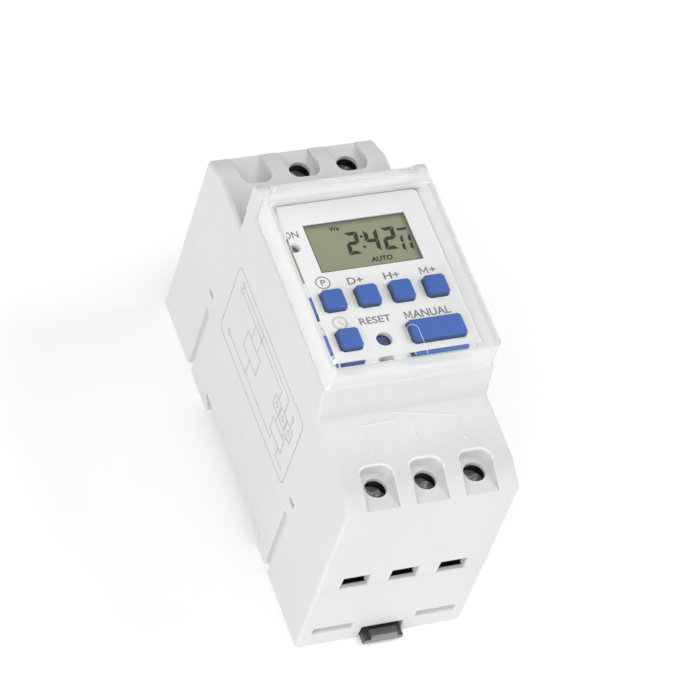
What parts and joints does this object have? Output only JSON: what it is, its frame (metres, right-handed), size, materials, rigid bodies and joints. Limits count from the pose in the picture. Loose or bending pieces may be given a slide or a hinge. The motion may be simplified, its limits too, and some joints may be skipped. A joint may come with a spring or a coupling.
{
  "type": "timer switch",
  "caption": "Rail-mounted weekly timer switch with a clear hinged cover over a display and keys, screw terminals in both shoulders and a sliding rail latch.",
  "frame": {"origin": "middle of the housing's back plane, where the two feet end, in the mouth of the rail channel", "axes": "+Z from the back towards the clear cover, +X across the width to the right when the display is read upright, +Y along the length towards the cover's hinge"},
  "size_m": [0.036, 0.0887, 0.0655],
  "materials": {
    "housing_white": "fine matt moulded",
    "face_white": "fine matt moulded",
    "cover_clear": "clear polished",
    "latch_grey": "matt moulded",
    "display_glass": "polished with a dull olive back",
    "inner_black": "matt",
    "strip_rubber": "striped",
    "board_green": "coated laminate",
    "bright_steel": "plated",
    "contact_brass": "plain",
    "led_red": "clear tinted",
    "key_blue": "satin moulded",
    "plunger_black": "matt",
    "relay_shell": "matt moulded",
    "coil_winding": "enamelled wire",
    "capacitor_case": "moulded",
    "can_sleeve": "sleeved can",
    "resistor_body": "coated",
    "ribbon_grey": "flat insulated"
  },
  "bodies": {
    "housing": {"base_housing": "housing_white", "front_housing": "housing_white", "face_plate": "face_white", "lcd_glass": "display_glass", "lcd_frame": "inner_black", "board_connectors": "inner_black", "tact_switches": "inner_black", "relay_base": "inner_black", "control_chip": "inner_black", "driver_transistor": "inner_black", "bridge_rectifier": "inner_black", "zebra_strips": "strip_rubber", "control_board": "board_green", "power_board": "board_green", "quartz_crystal": "bright_steel", "backup_battery": "bright_steel", "battery_tabs": "bright_steel", "relay_yoke": "bright_steel", "relay_contacts": "contact_brass", "terminal_bar_1": "contact_brass", "terminal_bar_2": "contact_brass", "terminal_bar_3": "contact_brass", "terminal_bar_4": "contact_brass", "terminal_bar_5": "contact_brass", "status_led": "led_red", "relay_case": "relay_shell", "relay_coil": "coil_winding", "dropper_capacitor": "capacitor_case", "smoothing_capacitor": "can_sleeve", "surge_resistor": "resistor_body", "ribbon_cable": "ribbon_grey"},
    "cover": {"clear_cover": "cover_clear"},
    "latch": {"rail_latch": "latch_grey"},
    "program_key": {"key_program": "key_blue", "plunger_program": "plunger_black"},
    "day_key": {"key_day": "key_blue", "plunger_day": "plunger_black"},
    "hour_key": {"key_hour": "key_blue", "plunger_hour": "plunger_black"},
    "minute_key": {"key_minute": "key_blue", "plunger_minute": "plunger_black"},
    "clock_key": {"key_clock": "key_blue", "plunger_clock": "plunger_black"},
    "manual_key": {"key_manual": "key_blue", "plunger_manual": "plunger_black"},
    "reset_key": {"key_reset": "key_blue", "plunger_reset": "plunger_black"},
    "screw_1": {"terminal_screw_1": "bright_steel"},
    "clamp_1": {"clamp_cage_1": "bright_steel"},
    "screw_2": {"terminal_screw_2": "bright_steel"},
    "clamp_2": {"clamp_cage_2": "bright_steel"},
    "screw_3": {"terminal_screw_3": "bright_steel"},
    "clamp_3": {"clamp_cage_3": "bright_steel"},
    "screw_4": {"terminal_screw_4": "bright_steel"},
    "clamp_4": {"clamp_cage_4": "bright_steel"},
    "screw_5": {"terminal_screw_5": "bright_steel"},
    "clamp_5": {"clamp_cage_5": "bright_steel"},
    "armature": {"relay_armature": "bright_steel"}
  },
  "joints": [
    {"name": "cover_hinge", "type": "hinge", "parent": "housing", "child": "cover", "pos_m": [0, 0.0223, 0.0619], "axis": [-1, 0, 0], "range_deg": [0, 140]},
    {"name": "latch_slide", "type": "slide", "parent": "housing", "child": "latch", "axis": [0, -1, 0], "range_m": [0, 0.003], "stiffness_N_per_m": 1500},
    {"name": "program_press", "type": "slide", "parent": "housing", "child": "program_key", "axis": [0, 0, -1], "range_m": [0, 0.0005], "stiffness_N_per_m": 3000},
    {"name": "day_press", "type": "slide", "parent": "housing", "child": "day_key", "axis": [0, 0, -1], "range_m": [0, 0.0005], "stiffness_N_per_m": 3000},
    {"name": "hour_press", "type": "slide", "parent": "housing", "child": "hour_key", "axis": [0, 0, -1], "range_m": [0, 0.0005], "stiffness_N_per_m": 3000},
    {"name": "minute_press", "type": "slide", "parent": "housing", "child": "minute_key", "axis": [0, 0, -1], "range_m": [0, 0.0005], "stiffness_N_per_m": 3000},
    {"name": "clock_press", "type": "slide", "parent": "housing", "child": "clock_key", "axis": [0, 0, -1], "range_m": [0, 0.0005], "stiffness_N_per_m": 3000},
    {"name": "manual_press", "type": "slide", "parent": "housing", "child": "manual_key", "axis": [0, 0, -1], "range_m": [0, 0.0005], "stiffness_N_per_m": 3000},
    {"name": "reset_press", "type": "slide", "parent": "housing", "child": "reset_key", "axis": [0, 0, -1], "range_m": [0, 0.0005], "stiffness_N_per_m": 3000},
    {"name": "screw_1_turn", "type": "hinge", "parent": "housing", "child": "screw_1", "pos_m": [-0.0103, -0.0379, 0.035], "axis": [0, 0, -1], "range_deg": [0, 1810]},
    {"name": "clamp_1_rise", "type": "slide", "parent": "housing", "child": "clamp_1", "axis": [0, 0, 1], "range_m": [0, 0.003]},
    {"name": "screw_2_turn", "type": "hinge", "parent": "housing", "child": "screw_2", "pos_m": [0, -0.0379, 0.035], "axis": [0, 0, -1], "range_deg": [0, 1810]},
    {"name": "clamp_2_rise", "type": "slide", "parent": "housing", "child": "clamp_2", "axis": [0, 0, 1], "range_m": [0, 0.003]},
    {"name": "screw_3_turn", "type": "hinge", "parent": "housing", "child": "screw_3", "pos_m": [0.0103, -0.0379, 0.035], "axis": [0, 0, -1], "range_deg": [0, 1810]},
    {"name": "clamp_3_rise", "type": "slide", "parent": "housing", "child": "clamp_3", "axis": [0, 0, 1], "range_m": [0, 0.003]},
    {"name": "screw_4_turn", "type": "hinge", "parent": "housing", "child": "screw_4", "pos_m": [0, 0.0379, 0.035], "axis": [0, 0, -1], "range_deg": [0, 1810]},
    {"name": "clamp_4_rise", "type": "slide", "parent": "housing", "child": "clamp_4", "axis": [0, 0, 1], "range_m": [0, 0.003]},
    {"name": "screw_5_turn", "type": "hinge", "parent": "housing", "child": "screw_5", "pos_m": [0.0103, 0.0379, 0.035], "axis": [0, 0, -1], "range_deg": [0, 1810]},
    {"name": "clamp_5_rise", "type": "slide", "parent": "housing", "child": "clamp_5", "axis": [0, 0, 1], "range_m": [0, 0.003]},
    {"name": "armature_pull", "type": "hinge", "parent": "housing", "child": "armature", "pos_m": [-0.0083, 0.0055, 0.0256], "axis": [-1, 0, 0], "range_deg": [0, 3.5], "stiffness_Nm_per_rad": 0.02}
  ],
  "couplings": [
    {"joint": "screw_1_turn", "follows": "clamp_1_rise", "rad_per_m": 10472},
    {"joint": "screw_2_turn", "follows": "clamp_2_rise", "rad_per_m": 10472},
    {"joint": "screw_3_turn", "follows": "clamp_3_rise", "rad_per_m": 10472},
    {"joint": "screw_4_turn", "follows": "clamp_4_rise", "rad_per_m": 10472},
    {"joint": "screw_5_turn", "follows": "clamp_5_rise", "rad_per_m": 10472}
  ]
}
